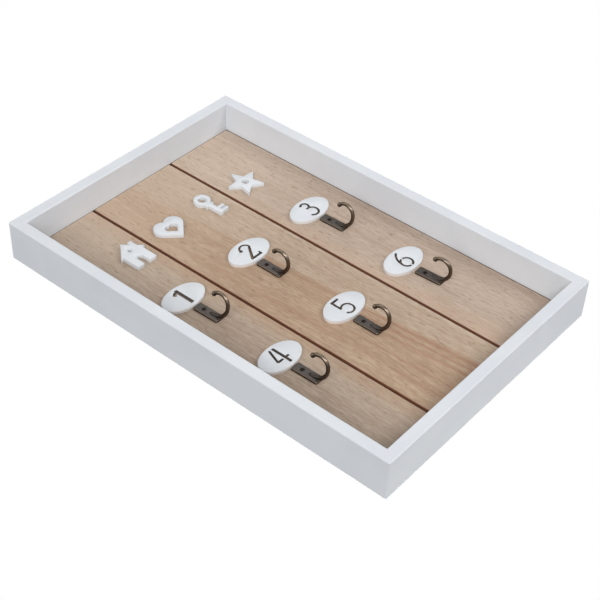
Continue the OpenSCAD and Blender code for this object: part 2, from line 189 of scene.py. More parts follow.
def satin_paint(name, light, shade, peel_mm, peel_depth_mm, marks=(), painted_gap_shade_in=None):
    """Dielectric paint: a slow noise mixes two whites, and a fine noise is the height of the peel.

    marks are (attribute, strength, hex) of colours laid over the paint where the attribute is 1.
    The last argument is (half the size along x, y and z, hex) of a box round the middle of the frame,
    whose colour is painted shade on the walls below the planks' face.
    """
    material, tree, place = new_material(name)
    drift = add(tree, "TexNoise", {"Vector": place, "Scale": per_metre(38), "Detail": 3})
    tone = add(tree, "MapRange", {"Value": drift, "From Min": 0.35, "From Max": 0.65}, **SMOOTH)
    colour = add(tree, "Mix", {0: tone, 6: linear(light), 7: linear(shade)}, data_type="RGBA")
    for key, strength, code in marks:
        share = add(tree, "Attribute", attribute_name=key).outputs["Fac"]
        colour = layered(tree, colour, [(share, strength, code)])
    # Painted shade: inside this box, below the planks' face, the walls turn dark brown.
    if painted_gap_shade_in:
        *box, code = painted_gap_shade_in
        off = add(tree, "VectorMath", {0: place, 1: (0, 0, MIDDLE_Z * MM)}, operation="SUBTRACT")
        off = add(tree, "VectorMath", {0: off}, operation="ABSOLUTE")
        axes, share = add(tree, "SeparateXYZ", {0: off}).outputs, 1
        for axis, reach in zip("XYZ", box):
            within = add(tree, "Math", {0: axes[axis], 1: reach * MM}, operation="LESS_THAN")
            share = add(tree, "Math", {0: share, 1: within}, operation="MULTIPLY")
        colour = layered(tree, colour, [(share, 1, code)])
    peel = add(tree, "TexNoise", {"Vector": place, "Scale": per_metre(peel_mm), "Detail": 1})
    relief = add(tree, "Bump", {"Height": peel, "Strength": 1, "Distance": peel_depth_mm * MM})
    surface = add(tree, "BsdfPrincipled", {
        "Base Color": colour, "Normal": relief, "Roughness": 0.42, "IOR": 1.5,
    })
    add(tree, "OutputMaterial", {"Surface": surface})
    return material


inner_w, inner_h = ((cad_box[1][axis] - cad_box[0][axis]) / 2 / MM - RAIL_T for axis in (0, 2))
rail_paint = satin_paint(
    "sprayed_satin_paint_on_mdf", "#DFE3E8", "#DADEE4", peel_mm=1.1, peel_depth_mm=0.02,
    painted_gap_shade_in=(inner_w + 0.3, -FACE_Y - 0.1, inner_h + 0.3, "#5E4636"))
dress(["rail_top", "rail_bottom", "rail_left", "rail_right"], rail_paint)
print("painted 4 rails round a space of", round(2 * inner_w, 1), "by", round(2 * inner_h, 1), "mm")

# %% [markdown]
# Bare paulownia planks
#
# The planks are thin paulownia, sanded and left bare. Its growth rings were cut almost flat, so they show as
# soft upright bands a few millimetres wide, with finer lines and short open pores in them. A wood photograph
# would repeat and would carry its own light. Noise that is squeezed across the grain and stretched along it
# does neither, and it can be placed by the millimetre. One table holds the five noises of this wood.

# %% The grain of paulownia
GRAIN = {
    # name: (mm across, through and along the plank), detail, where its smooth step starts and ends
    "bands": ((6.5, 40, 300), 2, 0.30, 0.70),
    "lines": ((2.0, 20, 150), 2, 0.38, 0.70),
    "fibre": ((1.0, 4, 7), 2, 0.34, 0.66),
    "pores": ((0.9, 3, 5), 1, 0.62, 0.74),
    "cloud": ((18, 18, 40), 3, 0.30, 0.70),
}


def grown(tree, place, offset_mm):
    """The five signals of GRAIN, each a noise passed through a smooth step, in planks cut offset_mm apart.

    A slow noise first pushes the place up to 9 mm across the grain, so that the bands wander.
    """
    moved = add(tree, "VectorMath", {0: place, 1: (offset_mm * MM, 0, offset_mm * MM)}, operation="ADD")
    slow = add(tree, "Mapping", {"Vector": moved, "Scale": per_metre(60, 60, 150)})
    slow = add(tree, "TexNoise", {"Vector": slow, "Scale": 1, "Detail": 1})
    push = add(tree, "MapRange", {"Value": slow, "To Min": -9 * MM, "To Max": 9 * MM})
    across = add(tree, "CombineXYZ", {"X": push})
    moved = add(tree, "VectorMath", {0: moved, 1: across}, operation="ADD")
    signals = {}
    for name, (size, detail, start, end) in GRAIN.items():
        spot = add(tree, "Mapping", {"Vector": moved, "Scale": per_metre(*size)})
        noise = add(tree, "TexNoise", {"Vector": spot, "Scale": 1, "Detail": detail, "Roughness": 0.6})
        step = {"Value": noise, "From Min": start, "From Max": end}
        signals[name] = add(tree, "MapRange", step, **SMOOTH)
    return signals


print(len(GRAIN), "noises, the finest", min(size[0] for size, *_ in GRAIN.values()), "mm wide")

# %% [markdown]
# Heartwood and streaks follow the trunk, and the trunk leaned a little. They could be painted by hand, but
# straight lines that lean off upright say the same in two numbers: where the line meets the foot of the frame
# and how far it leans. Past such a line the dot product of the place with (1, 0, lean) is larger.

# %% Lines that follow the trunk
HANG_MM = -cad_box[0][2] / MM    # the origin is this far above the bottom edge of the frame


def past_line(tree, place, foot_x, lean):
    """Metres past the line x = foot_x - lean * height: the dot product less what it is on the line."""
    along = add(tree, "VectorMath", {0: place, 1: (1, 0, lean)}, operation="DOT_PRODUCT")
    return add(tree, "Math", {0: along, 1: (foot_x - lean * HANG_MM) * MM}, operation="SUBTRACT")


def streak(tree, place, foot_x, lean, reach, heights):
    """1 on the line, 0 at reach mm from it, and fading from the first of the heights to the second."""
    off = add(tree, "Math", {0: past_line(tree, place, foot_x, lean)}, operation="ABSOLUTE")
    near = add(tree, "MapRange", {"Value": off, "From Min": reach * MM, "From Max": 0}, **SMOOTH)
    height = add(tree, "SeparateXYZ", {0: place}).outputs["Z"]
    low, high = ((h - HANG_MM) * MM for h in heights)
    fade = add(tree, "MapRange", {"Value": height, "From Min": high, "From Max": low}, **SMOOTH)
    return add(tree, "Math", {0: near, 1: fade}, operation="MULTIPLY")


print("the foot of the frame is", round(HANG_MM, 1), "mm below the notch")

# %% [markdown]
# The colour of a plank is built up in thin layers, as a painter would glaze it: a pale ground, the broad
# bands, the dark lines and fibres, then streaks and pores. All planks are painted paler towards the top, as
# painted light. Their long edges turn dark brown below the face, as painted shade in the dark gap between
# two planks.

# %% The colour of one plank
# Painted light: between these heights the planks turn paler towards the top, to the second colour below.
PAINTED_LIGHT_FROM, PAINTED_LIGHT_TO = 160, 300    # heights above the foot between which the planks grow paler, in mm
# The first colour on the next line is painted shade on the long plank edges inside the gaps between planks.
PAINTED_GAP_SHADE, PAINTED_LIGHT_TOP, OPEN_PORE = "#78462F", "#D6C1AC", "#7C5C46"


def grained(tree, grain, pale, mid, dark):
    """Three tones of one wood: over pale, bands and clouds carry mid, and lines and fibres carry dark."""
    return layered(tree, linear(pale), [
        (grain["bands"], 0.5, mid), (grain["cloud"], 0.6, mid),
        (grain["lines"], 0.28, dark), (grain["fibre"], 0.36, dark),
    ])


def paulownia(name, tones, offset_mm, streaks=(), heart=None):
    """Bare sanded wood in three tones: pale, mid and dark.

    heart is (x at the foot, lean, three tones) of the wood left of that line. Each streak is
    (x at the foot, lean, reach, (heights of its fade), strength, hex) and is broken up by the bands.
    """
    material, tree, place = new_material(name)
    grain = grown(tree, place, offset_mm)
    colour = grained(tree, grain, *tones)
    if heart:
        foot_x, lean, heart_tones = heart
        past = past_line(tree, place, foot_x, lean)
        inside = add(tree, "MapRange", {"Value": past, "From Min": 2 * MM, "From Max": -1.5 * MM}, **SMOOTH)
        darker = grained(tree, grain, *heart_tones)
        colour = add(tree, "Mix", {0: inside, 6: colour, 7: darker}, data_type="RGBA")
    for foot_x, lean, reach, heights, strength, code in streaks:
        share = streak(tree, place, foot_x, lean, reach, heights)
        broken = add(tree, "MapRange", {"Value": grain["bands"], "To Min": 1, "To Max": 0.55})
        share = add(tree, "Math", {0: share, 1: broken}, operation="MULTIPLY")
        colour = layered(tree, colour, [(share, strength, code)])
    _, depth, height = add(tree, "SeparateXYZ", {0: place}).outputs
    # Painted shade: below the face the long edges turn dark brown, in the gap between two planks.
    painted_shade = {"Value": depth, "From Min": (FACE_Y + 0.1) * MM, "From Max": (FACE_Y + 0.5) * MM}
    painted_shade = add(tree, "MapRange", painted_shade, **SMOOTH)
    # Painted light: paler towards the top of the frame.
    painted_light = {"Value": height, "From Min": (PAINTED_LIGHT_FROM - HANG_MM) * MM, "From Max": (PAINTED_LIGHT_TO - HANG_MM) * MM}
    painted_light = add(tree, "MapRange", painted_light, **SMOOTH)
    colour = layered(tree, colour, [
        (painted_light, 0.4, PAINTED_LIGHT_TOP), (grain["pores"], 0.45, OPEN_PORE), (painted_shade, 0.9, PAINTED_GAP_SHADE),
    ])
    relief = add(tree, "Bump", {"Height": grain["fibre"], "Strength": 1, "Distance": 0.05 * MM})
    surface = add(tree, "BsdfPrincipled", {
        "Base Color": colour, "Normal": relief, "Roughness": 0.62, "IOR": 1.45,
    })
    add(tree, "OutputMaterial", {"Surface": surface})
    return material


print("layers ready: grain, heart, streaks, pores and burnt edges")

# %% [markdown]
# The three planks came from different boards. The left one is greyish, the right one the palest, and the
# middle one has brown heartwood on its left, with a few dark streaks near the foot.

# %% Three planks
left_wood = paulownia(
    "sanded_paulownia_grey", ("#BEAD9C", "#AB9886", "#8E7460"), offset_mm=3.1,
    streaks=[(-38, 0, 15, (400, 600), 0.55, "#B4906F")])
middle_wood = paulownia(
    "sanded_paulownia_heart", ("#CAB7A3", "#B8A28D", "#977A61"), offset_mm=17.4,
    heart=(16, 0.065, ("#C2A991", "#AF937A", "#8C694F")),
    streaks=[
        (13, 0.065, 2.2, (50, 170), 0.6, "#97664B"),
        (8, 0.065, 1.8, (60, 200), 0.55, "#97664B"),
        (2.5, 0.065, 2, (40, 150), 0.5, "#9C6E53"),
        (-22, 0.02, 3, (180, 420), 0.35, "#A27A5E"),
        (-12, 0.03, 2, (60, 160), 0.4, "#9C6E53"),
    ])
right_wood = paulownia(
    "sanded_paulownia_pale", ("#CBBAAB", "#B9A493", "#9F846F"), offset_mm=41.8,
    streaks=[(37, 0.03, 22, (400, 600), 0.5, "#C6A88E")])
for name, wood in (("left", left_wood), ("middle", middle_wood), ("right", right_wood)):
    dress([f"plank_{name}"], wood)
print("three planks in bare paulownia")

# %% [markdown]
# The back board
#
# Hardboard is pressed from brown wood fibre. Its front is smooth. Its back carries the print of the wire
# screen that it was pressed on, a fine square mesh, and both are flecked with fibres. Two crossed waves make
# the mesh. The pitch of a real screen is about 1.3 mm, which just shows in the view from behind.

# %% Hardboard


def hardboard(name, screen_mm=1.3):
    """Brown fibre with paler flecks. The relief is the lower of two crossed waves of pitch screen_mm.

    A Wave texture of scale 1 has a pitch of a twentieth of a turn, so its scale is (2 pi / 20) / pitch.
    """
    material, tree, place = new_material(name)
    cloud = add(tree, "TexNoise", {"Vector": place, "Scale": per_metre(14), "Detail": 2})
    cloud = add(tree, "MapRange", {"Value": cloud, "From Min": 0.3, "From Max": 0.7}, **SMOOTH)
    spot = add(tree, "Mapping", {"Vector": place, "Scale": per_metre(0.5, 0.5, 2.5)})
    fleck = add(tree, "TexNoise", {"Vector": spot, "Scale": 1, "Detail": 3, "Roughness": 0.65})
    fleck = add(tree, "MapRange", {"Value": fleck, "From Min": 0.5, "From Max": 0.75}, **SMOOTH)
    colour = layered(tree, linear("#74503A"), [(cloud, 1, "#64422D"), (fleck, 0.5, "#946C4E")])
    wave = {"Vector": place, "Scale": math.tau / 20 * per_metre(screen_mm), "Distortion": 0.4, "Detail": 1}
    wires = [add(tree, "TexWave", wave, bands_direction=axis).outputs["Fac"] for axis in ("X", "Z")]
    mesh = add(tree, "Math", {0: wires[0], 1: wires[1]}, operation="MINIMUM")
    relief = add(tree, "Bump", {"Height": mesh, "Strength": 1, "Distance": 0.12 * MM})
    surface = add(tree, "BsdfPrincipled", {
        "Base Color": colour, "Normal": relief, "Roughness": 0.7, "IOR": 1.45,
    })
    add(tree, "OutputMaterial", {"Surface": surface})
    return material


dress(["back_board"], hardboard("screen_pressed_hardboard"))
print("back board in hardboard")

# %% [markdown]
# Zinc-plated steel
#
# The toothed hanger strip and the pins and nails are bright zinc-plated steel. Rolled strip keeps fine lines
# along its length, so its roughness varies in long thin streaks. A metal's colour is its base colour.

# %% Steel


def plated_steel(name, *grain_mm):
    """Metal whose colour, gloss and relief all follow one noise with blobs of the given sizes."""
    material, tree, place = new_material(name)
    spot = add(tree, "Mapping", {"Vector": place, "Scale": per_metre(*grain_mm)})
    noise = add(tree, "TexNoise", {"Vector": spot, "Scale": 1, "Detail": 2, "Roughness": 0.6})
    swing = {"Value": noise, "From Min": 0.3, "From Max": 0.7}
    streaks = add(tree, "MapRange", swing, **SMOOTH)
    gloss = add(tree, "MapRange", swing | {"To Min": 0.28, "To Max": 0.45}, **SMOOTH)
    relief = add(tree, "Bump", {"Height": noise, "Strength": 1, "Distance": 0.01 * MM})
    colour = layered(tree, linear("#B9BABC"), [(streaks, 1, "#A3A5A8")])
    surface = add(tree, "BsdfPrincipled", {
        "Base Color": colour, "Metallic": 1, "Roughness": gloss, "Normal": relief,
    })
    add(tree, "OutputMaterial", {"Surface": surface})
    return material


dress(["hanger"], plated_steel("rolled_zinc_plated_strip", 18, 0.4, 0.4))
dress(["hanger_nails", "board_pins", "corner_pins"], plated_steel("zinc_plated_pins", 0.8, 0.8, 0.8))
print("steel parts dressed")

# %% [markdown]
# Surfaces from numpy
#
# A new piece starts as rings of points. Each ring is one row of an array, and the skin between two rings is a
# row of quads, so a whole mesh is a few array operations. A ring that has shrunk to a point closes a tube as
# a fan. The rings may also join end to start, as on a plate that is skinned round the wall of its own hole.

# %% Skin a stack of rings


def mesh_from(name, points, faces):
    """A mesh from point and face arrays, checked for bad faces."""
    mesh = bpy.data.meshes.new(name)
    mesh.from_pydata(points, [], faces)
    mesh.validate()
    mesh.update()
    return mesh


def skin(rings, joined=False):
    """Quads between neighbouring rings: corner k of quad (i, j) is ring i or i + 1, point j or j + 1.

    rings has the shape (rings, points, 3). With joined the last ring meets the first. Otherwise a fan of
    triangles closes each end round a pole at the middle of its ring.
    """
    count, around, _ = rings.shape
    points = rings.reshape(-1, 3)
    i, j = np.meshgrid(np.arange(count if joined else count - 1), np.arange(around), indexing="ij")
    a, b = i * around, (i + 1) % count * around
    k = (j + 1) % around
    quads = np.stack([a + j, a + k, b + k, b + j], -1).reshape(-1, 4).tolist()
    if joined:
        return points, quads
    poles = np.stack([rings[0].mean(0), rings[-1].mean(0)])
    j = np.arange(around)
    first, last = count * around, count * around + 1
    k, end = (j + 1) % around, (count - 1) * around
    fans = np.concatenate([
        np.stack([k, j, 0 * j + first], -1), np.stack([end + j, end + k, 0 * j + last], -1),
    ])
    return np.concatenate([points, poles]), quads + fans.tolist()


def place_piece(name, mesh, material, slot, *replaced):
    """Links a finished mesh as a piece of the part: it rides on the body and stands for its CAD nodes."""
    piece = bpy.data.objects.new(name, mesh)
    bpy.context.scene.collection.objects.link(piece)
    mesh.materials.clear()
    mesh.materials.append(material)
    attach(piece, "root")
    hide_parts(*replaced)
    return piece


def settle(mesh, **modifiers):
    """Applies modifiers in the order given, each as kind=settings, and returns the finished mesh."""
    carrier = bpy.data.objects.new("carrier", mesh)
    bpy.context.scene.collection.objects.link(carrier)
    for kind, settings in modifiers.items():
        modifier = carrier.modifiers.new(kind, kind)
        for key, value in settings.items():
            setattr(modifier, key, value)
    graph = bpy.context.evaluated_depsgraph_get()
    made = bpy.data.meshes.new_from_object(carrier.evaluated_get(graph))
    bpy.data.objects.remove(carrier)
    return made


print("skin helpers ready")

# %% [markdown]
# The hooks
#
# Each hook is a small casting: a flat plate with a bevelled face and one countersunk hole, and a round arm
# that swells out of the plate, bends forward and up, thins a little and ends in a rounded knob. The CAD solid
# has the same path with twelve flat sides. Here the plate is skinned from the wall of its hole, over the
# face, down the bevel and round the back. The arm is a tube along the bend. A voxel remesh at a fifth of a
# millimetre then fuses the two as casting does, with a soft fillet where they meet, and a little smoothing
# takes the steps off.

# %% Hook plate
PLATE_W, PLATE_H, PLATE_T, PLATE_BEVEL = 7.2, 19.3, 1.4, 0.5
PLATE_CORNER = 1.0
BORE_R, MOUTH_R, SINK_DEPTH = 0.85, 1.45, 0.6
SCREW_H = PLATE_H - 5.9


def plate_outline(inset, per_corner=9, per_side=14):
    """Rounded rectangle, inset from the plate's: its corners are arcs about centres that all insets share."""
    r = PLATE_CORNER - inset
    cx, low, high = PLATE_W / 2 - PLATE_CORNER, PLATE_CORNER, PLATE_H - PLATE_CORNER
    centres = [(cx, high), (-cx, high), (-cx, low), (cx, low)]
    parts = []
    for turn, centre in enumerate(centres):
        angle = (turn + np.linspace(0, 1, per_corner)) * math.pi / 2
        arc = np.array(centre) + r * np.stack([np.cos(angle), np.sin(angle)], -1)
        start = np.array(centres[(turn + 1) % 4]) + (arc[-1] - np.array(centre))
        share = np.linspace(0, 1, per_side)[1:-1, None]
        parts += [arc, arc[-1] + share * (start - arc[-1])]
    return np.concatenate(parts)


def level(flat, out):
    """The ring of flat points (x, height) at one distance in front of the plank: (x, out, height)."""
    return np.stack([flat[:, 0], np.full(len(flat), out), flat[:, 1]], -1)


def plate_rings():
    """Rings (x, out, height): bore wall, countersink, face, bevel as a quarter wave, side wall and back."""
    hole = np.array([0, SCREW_H])
    edge = plate_outline(0)
    toward = (edge - hole) / np.linalg.norm(edge - hole, axis=1, keepdims=True)
    rim, mouth, bore = plate_outline(PLATE_BEVEL), hole + MOUTH_R * toward, hole + BORE_R * toward
    rings = [level(bore, 0), level(bore, PLATE_T - SINK_DEPTH), level(mouth, PLATE_T)]
    rings += [level(mouth + t * (rim - mouth), PLATE_T) for t in (0.12, 0.4, 0.7, 0.94)]
    for t in np.linspace(0, 1, 7):
        wave = 0.5 * t + 0.5 * math.sin(t * math.pi / 2)
        drop = 0.5 * t + 0.5 * (1 - math.cos(t * math.pi / 2))
        rings.append(level(plate_outline(PLATE_BEVEL * (1 - wave)), PLATE_T - PLATE_BEVEL * drop))
    rings += [level(edge, 0.45), level(edge, 0), level(bore + 0.5 * (edge - bore), 0)]
    return np.array(rings)


print("plate", plate_rings().shape[0], "rings of", plate_rings().shape[1])

# %% [markdown]
# The arm's centre line is two arcs that share a tangent: a big bend of 10.3 mm and a curl of 6.2 mm. Each
# ring stands square to it. Its radius is that of a tube that hardly thins. Near the end a soft maximum with a
# ball of 1.6 mm swells it into the knob, without the neck that a plain union would leave.

# %% Hook arm
ROOT_OUT, ROOT_H, LEAD = PLATE_T - 0.1, 5.8, 2.6
BEND_R, CURL_R = 10.3, 6.2
CURL_START, CURL_END = math.radians(76), math.radians(44)
ARM_R, ARM_END_R, KNOB_R, KNOB_SEAT = 1.25, 1.2, 1.6, 1.12
BEND_L, CURL_L = BEND_R * (math.pi - CURL_START), CURL_R * (CURL_START + CURL_END)
KNOB_AT = LEAD + BEND_L + CURL_L + KNOB_SEAT     # length along the arm to the middle of the knob
ARM_L = KNOB_AT + KNOB_R


def arm_line(s):
    """Centre, outward and forward direction at length s, along the lead, the bend, the curl and the knob.

    Each stretch starts along the tangent of the one before. On an arc the centre is c + R * outward.
    """
    bend_c = np.array([ROOT_OUT + BEND_R, ROOT_H])
    curl_c = bend_c + (BEND_R - CURL_R) * np.array([math.cos(CURL_START), -math.sin(CURL_START)])
    on_bend = np.clip(s - LEAD, 0, BEND_L) / BEND_R
    on_curl = np.clip(s - LEAD - BEND_L, 0, CURL_L) / CURL_R
    straight_on = np.clip(s - LEAD - BEND_L - CURL_L, 0, None)
    angle = math.pi + on_bend + on_curl
    outward = np.stack([np.cos(angle), np.sin(angle)], -1)
    forward = np.stack([-np.sin(angle), np.cos(angle)], -1)
    centre = bend_c + BEND_R * outward
    centre = np.where((s > LEAD + BEND_L)[:, None], curl_c + CURL_R * outward, centre)
    centre = centre + (straight_on + np.minimum(s - LEAD, 0))[:, None] * forward
    return centre, outward, forward


def arm_radius(s):
    """Radius at length s: a quarter circle at the root, then a slow taper t, then the ball b of the knob.

    The soft maximum mixes t and b by m = 0.5 + 0.5 (b - t) / 0.5 mm, kept between 0 and 1, and adds
    0.2 m (1 - m) mm. Past the middle of the knob the ball stands alone.
    """
    taper = ARM_R + (ARM_END_R - ARM_R) * s / ARM_L
    root = np.sqrt(np.clip(1 - (1 - np.clip(s / LEAD, 0, 1)) ** 2, 0.01, 1))
    ball = np.sqrt(np.clip(KNOB_R ** 2 - (s - KNOB_AT) ** 2, 0, None))
    mix = np.clip(0.5 + 0.5 * (ball - taper) / 0.5, 0, 1)
    return np.where(s < KNOB_AT, taper * root * (1 - mix) + ball * mix + 0.2 * mix * (1 - mix), ball)


def arm_rings(rings=130, around=28, tip=0.004):
    """Tube: centre + radius * (cos a * outward + sin a * sideways). The rings lie closer near both ends.

    The first and last ring stop tip mm short, where the radius is still large enough for a fan.
    """
    ease = 0.5 - 0.5 * np.cos(np.linspace(0, math.pi, rings))
    s = ARM_L * (0.12 * ease + 0.88 * np.linspace(0, 1, rings))
    s[0], s[-1] = tip, ARM_L - tip
    radius = arm_radius(s)
    centre, outward, _ = arm_line(s)
    a = np.linspace(0, math.tau, around, endpoint=False)
    side = radius[:, None] * np.sin(a)
    flat = centre[:, None, :] + (radius[:, None] * np.cos(a))[..., None] * outward[:, None, :]
    return np.stack([side, flat[..., 0], flat[..., 1]], -1)


print("arm reaches", round(float(arm_rings()[..., 1].max()), 2), "mm in front of the planks")

# %% [markdown]
# The finish is antique bronze: a plated casting that was blackened and then tumbled, so that the edges and
# the outer side of the arm came back to a coppery brown while the flats stayed almost black. On the arm
# that lighter bronze is partly wear and partly a painted highlight. Where it lies follows the shape, so it
# is worked out per vertex from the same sizes and kept as an attribute.

# %% Casting one hook
VOXEL = 0.2                  # in mm, a sixth of the arm's radius


def turned(points, degrees):
    """Points (x, out, height) turned about the height axis, so that what stands out leans towards +x."""
    c, s = math.cos(math.radians(degrees)), math.sin(math.radians(degrees))
    return np.stack([points[..., 0] * c + points[..., 1] * s, points[..., 1] * c - points[..., 0] * s,
                     points[..., 2]], -1)


def wear_and_highlight_of(points, lean):
    """From 0 to 1: wear on the plate's bevel, wear and a painted highlight on the arm, zero on the flats.

    The plate's share is a bump 0.22 mm in from the nearest edge and 0.25 mm wide to each side. The arm's
    grows over 7 mm from just past the root, and with the cosine between the outward direction at the nearest
    part of the line and the way to the point, so it is most on the arm's outer side.
    """
    x, out, h = points.T
    edge = np.minimum(np.minimum(PLATE_W / 2 - np.abs(x), h), PLATE_H - h)
    plate = 0.6 * np.exp(-((edge - 0.22) / 0.25) ** 2) * (out > 0.5)
    straight = turned(points, -lean)
    s = np.linspace(0, KNOB_AT, 200)
    centre, outward, _ = arm_line(s)
    away = straight[:, None, 1:] - centre[None]
    nearest = np.argmin((away ** 2).sum(-1), 1)
    span = away[np.arange(len(points)), nearest]
    reach = np.hypot(straight[:, 0], np.linalg.norm(span, axis=1))
    facing = (span * outward[nearest]).sum(-1) / np.maximum(reach, 1e-6)
    from_root = np.clip((s[nearest] - LEAD - 1.5) / 7, 0, 1)
    # On the arm this share is partly wear and partly a painted highlight.
    arm = from_root * (0.25 + 0.45 * np.clip((facing - 0.1) / 0.8, 0, 1))
    return np.where(out < PLATE_T + 0.05, plate, arm)


def cast_hook(lean):
    """Plate and leaning arm as two closed shells in one mesh, fused by remeshing and smoothed."""
    plate, plate_faces = skin(plate_rings(), joined=True)
    arm, arm_faces = skin(turned(arm_rings(), lean))
    faces = plate_faces + [[v + len(plate) for v in face] for face in arm_faces]
    shells = mesh_from("hook_shells", np.concatenate([plate, arm]), faces)
    cast = settle(
        shells,
        REMESH={"mode": "VOXEL", "voxel_size": VOXEL},
        SMOOTH={"factor": 0.5, "iterations": 3},
    )
    points = np.empty(len(cast.vertices) * 3)
    cast.vertices.foreach_get("co", points)
    points = points.reshape(-1, 3)
    rub_and_highlight = cast.attributes.new("rub_and_highlight", "FLOAT", "POINT")
    rub_and_highlight.data.foreach_set("value", wear_and_highlight_of(points, lean).astype(np.float32))
    world = np.stack([points[:, 0], -points[:, 1], points[:, 2]], -1)
    cast.vertices.foreach_set("co", (world * MM).ravel())
    cast.flip_normals()
    cast.shade_smooth()
    return cast


print("straight hook:", len(cast_hook(0).polygons), "faces")

# %% [markdown]
# The black of such a finish is a thin patina on metal. The large lamps draw a narrow bright line along the
# arm. Seen at a slant the patina stays dark, which the tint of the specular edge says. The wear and
# highlight attribute clears it to bare bronze, which is glossier too, but unevenly: a fine noise breaks it
# up. On the arm this bare bronze is partly a painted highlight, which lifts and widens the lamps' line.

# %% Antique bronze


def antique_bronze(name, dark, brown, copper_and_highlight, gloss=0.3):
    """Dark metal mottled by a 1.6 mm noise, cleared to a lighter bronze where the wear and highlight
    attribute times a fine noise is high. On the arm that lighter bronze is partly a painted highlight.
    """
    material, tree, place = new_material(name)
    blots = add(tree, "TexNoise", {"Vector": place, "Scale": per_metre(1.6), "Detail": 3, "Roughness": 0.6})
    mottle = {"Value": blots, "From Min": 0.35, "From Max": 0.65}
    mottle = add(tree, "MapRange", mottle, **SMOOTH)
    pits = add(tree, "TexNoise", {"Vector": place, "Scale": per_metre(0.45), "Detail": 2, "Roughness": 0.6})
    clear = add(tree, "MapRange", {"Value": pits, "From Min": 0.3, "From Max": 0.7, "To Min": 0.55}, **SMOOTH)
    rub_and_highlight = add(tree, "Attribute", attribute_name="rub_and_highlight").outputs["Fac"]
    wear_and_highlight = add(tree, "Math", {0: rub_and_highlight, 1: clear}, operation="MULTIPLY")
    rough = add(tree, "MapRange", {"Value": wear_and_highlight, "To Min": gloss + 0.05, "To Max": gloss - 0.1})
    colour = layered(tree, linear(dark), [(mottle, 1, brown), (wear_and_highlight, 1, copper_and_highlight)])
    relief = add(tree, "Bump", {"Height": pits, "Strength": 1, "Distance": 0.012 * MM})
    surface = add(tree, "BsdfPrincipled", {
        "Base Color": colour, "Metallic": 1, "Roughness": rough, "Normal": relief,
        "Specular Tint": linear("#4A3E36"),
    })
    add(tree, "OutputMaterial", {"Surface": surface})
    return material


# The last colour is bare bronze: wear on the plate's edges, and on the arm also a painted highlight.
bronze = antique_bronze("tumbled_antique_bronze", "#3F3D3D", "#49433F", "#93826F")
dress(["hook_screws"], antique_bronze("blackened_screws", "#2A2624", "#332D2A", "#6A4E3C", gloss=0.4))
print("bronze mixed, screws dressed")

# %% [markdown]
# The hooks were screwed on and bent by hand, so no two sit alike. Each hangs a little off its tag, turned
# about its screw by a degree or so, and its arm leans to one side. The tags' boxes come from the frame.

# %% Six hooks
TAG_GAP = 0.3
HOOK_SETTINGS = {
    # number: (mm off the middle of its tag, drop in mm, degrees of turn about its screw, degrees of lean)
    1: (1.1, 0, -1, 8), 2: (-1.4, 0.2, 0, -2), 3: (1.5, 0, -1, 4),
    4: (1.2, 0, -1, 3), 5: (-1.8, 0.4, 0, 4), 6: (0.4, 0.9, -3, -3),
}
for number, (shift, drop, turn, lean) in HOOK_SETTINGS.items():
    low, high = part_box(f"tag_{number}")
    screw = Vector(((low[0] + high[0]) / 2, 0, low[2])) + Vector(
        (shift, FACE_Y, SCREW_H - PLATE_H - TAG_GAP - drop)) * MM
    mesh = cast_hook(lean)
    about_screw = Matrix.Rotation(math.radians(turn), 4, "Y")
    mesh.transform(Matrix.Translation(screw) @ about_screw @ Matrix.Translation((0, 0, -SCREW_H * MM)))
    place_piece(f"hook_casting_{number}", mesh, bronze, "antique_bronze", f"hook_{number}")
    print("hook", number, "screw at", [round(v * 1000, 1) for v in screw])

# %% [markdown]
# Tags and cut-outs with softened edges
#
# The tags were cut from thin plywood and the ornaments from MDF, and all were sprayed. Paint is thin on a
# sharp edge and round on it, so each edge catches a fine line of light. The CAD outlines are exact. A copy of
# each CAD mesh has its loose triangles merged and its flat faces joined, and then a Bevel of a few tenths
# softens every sharp edge.

# %% Soften the cut-outs


def softened(name, width_mm, sharp_degrees=30):
    """Merged copy of a CAD part, with flat faces joined and every edge sharper than the angle bevelled."""
    mesh = nodes[name].data.copy()
    mesh.transform(nodes[name].matrix_world)
    for key in [a.name for a in mesh.attributes if not a.is_required and a.name != "position"]:
        if key in mesh.attributes:
            mesh.attributes.remove(mesh.attributes[key])
    limit = math.radians(sharp_degrees)
    made = settle(
        mesh,
        WELD={"merge_threshold": 0.002 * MM},
        DECIMATE={"decimate_type": "DISSOLVE", "angle_limit": math.radians(1)},
        BEVEL={"width": width_mm * MM, "segments": 2, "limit_method": "ANGLE", "angle_limit": limit},
    )
    made.shade_smooth()
    made.set_sharp_from_angle(angle=limit)
    return made


def mark_walls(mesh):
    """Face attributes "cut" and "rim": 1 on the steep faces inside the oval, and on those round its outside.

    Inside means (x / a)^2 + (z / b)^2 < 0.9, with a and b half the width and height of the mesh. The slope of
    a face is the size of its normal's y: near 0 on a wall, 1 on the flat front, and between them on a bevel.
    """
    corners = np.empty(len(mesh.vertices) * 3)
    mesh.vertices.foreach_get("co", corners)
    corners = corners.reshape(-1, 3)
    middle, half = (corners.max(0) + corners.min(0)) / 2, (corners.max(0) - corners.min(0)) / 2
    centres, normals = np.empty(len(mesh.polygons) * 3), np.empty(len(mesh.polygons) * 3)
    mesh.polygons.foreach_get("center", centres)
    mesh.polygons.foreach_get("normal", normals)
    across = ((centres.reshape(-1, 3) - middle) / half)[:, (0, 2)]
    inside = (across ** 2).sum(1) < 0.9
    slope = np.abs(normals.reshape(-1, 3)[:, 1])
    for key, chosen in (("cut", inside & (slope < 0.5)), ("rim", ~inside & (slope < 0.97))):
        mesh.attributes.new(key, "FLOAT", "FACE").data.foreach_set("value", chosen.astype(np.float32))


print("softening", sum(name.startswith(("tag", "ornament")) for name in nodes), "cut-outs")

